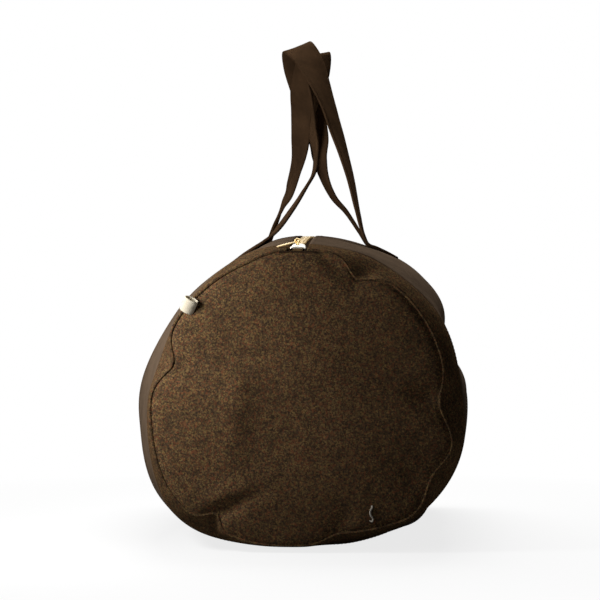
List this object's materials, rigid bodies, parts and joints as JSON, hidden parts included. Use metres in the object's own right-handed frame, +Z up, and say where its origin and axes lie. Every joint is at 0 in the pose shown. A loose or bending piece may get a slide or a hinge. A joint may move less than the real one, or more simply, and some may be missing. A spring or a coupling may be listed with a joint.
{
  "type": "weekender bag",
  "caption": "Barrel-shaped cloth weekender bag with round tweed ends, a zip along the top and two strap handles that swing down to the sides.",
  "frame": {"origin": "middle of the flat base on the floor", "axes": "+Z up, +Y along the barrel towards the far end, +X to the right seen from the near end"},
  "size_m": [0.306, 0.48, 0.4853],
  "materials": {
    "canvas": "matte brown twill",
    "tweed": "matte flecked wool tweed",
    "strap": "matte brown twill strap",
    "lining": "plain matte cotton",
    "zip_tape": "woven zip tape",
    "brass": "polished pale brass",
    "label": "cream woven ribbon"
  },
  "bodies": {
    "bag": {"body_panel_left": "canvas", "body_panel_right": "canvas", "near_end_panel": "tweed", "far_end_panel": "tweed", "near_end_band": "tweed", "far_end_band": "tweed", "near_seam_binding": "strap", "far_seam_binding": "strap", "bottom_seam_tape": "strap", "lining_body": "lining", "lining_near_end": "lining", "lining_far_end": "lining", "zip_tape_near": "zip_tape", "zip_tape_far": "zip_tape", "zip_teeth_near": "brass", "zip_teeth_far": "brass", "zip_stop_near": "brass", "zip_stop_far": "brass", "strap_end_left_near": "strap", "strap_end_left_far": "strap", "strap_end_right_near": "strap", "strap_end_right_far": "strap", "label_loop": "label"},
    "left_mouth": {"mouth_panel_left": "canvas", "zip_tape_left": "zip_tape", "zip_teeth_left": "brass"},
    "right_mouth": {"mouth_panel_right": "canvas", "zip_tape_right": "zip_tape", "zip_teeth_right": "brass"},
    "slider": {"zip_slider": "brass"},
    "link": {"pull_link": "brass"},
    "tab": {"pull_tab": "brass"},
    "left_handle": {"handle_left": "strap"},
    "right_handle": {"handle_right": "strap"}
  },
  "joints": [
    {"name": "left_mouth_fold", "type": "hinge", "parent": "bag", "child": "left_mouth", "pos_m": [-0.044, 0, 0.28294], "axis": [0, -1, 0], "range_deg": [0, 60]},
    {"name": "right_mouth_fold", "type": "hinge", "parent": "bag", "child": "right_mouth", "pos_m": [0.044, 0, 0.28294], "axis": [0, 1, 0], "range_deg": [0, 60]},
    {"name": "slider_run", "type": "hinge", "parent": "bag", "child": "slider", "pos_m": [0, 0, -1.03109], "axis": [-1, 0, 0], "range_deg": [0, 19.73]},
    {"name": "link_swing", "type": "hinge", "parent": "slider", "child": "link", "pos_m": [0, -0.22701, 0.27426], "axis": [0, 0.9852, 0.1713], "range_deg": [0, 210]},
    {"name": "tab_swing", "type": "hinge", "parent": "link", "child": "tab", "pos_m": [-0.00275, -0.22688, 0.27353], "axis": [0.2588, 0.1655, -0.9516], "range_deg": [-30, 30]},
    {"name": "left_handle_swing", "type": "hinge", "parent": "bag", "child": "left_handle", "pos_m": [-0.052, 0, 0.28219], "axis": [0, -1, 0], "range_deg": [0, 115]},
    {"name": "right_handle_swing", "type": "hinge", "parent": "bag", "child": "right_handle", "pos_m": [0.052, 0, 0.28219], "axis": [0, 1, 0], "range_deg": [0, 115]}
  ]
}
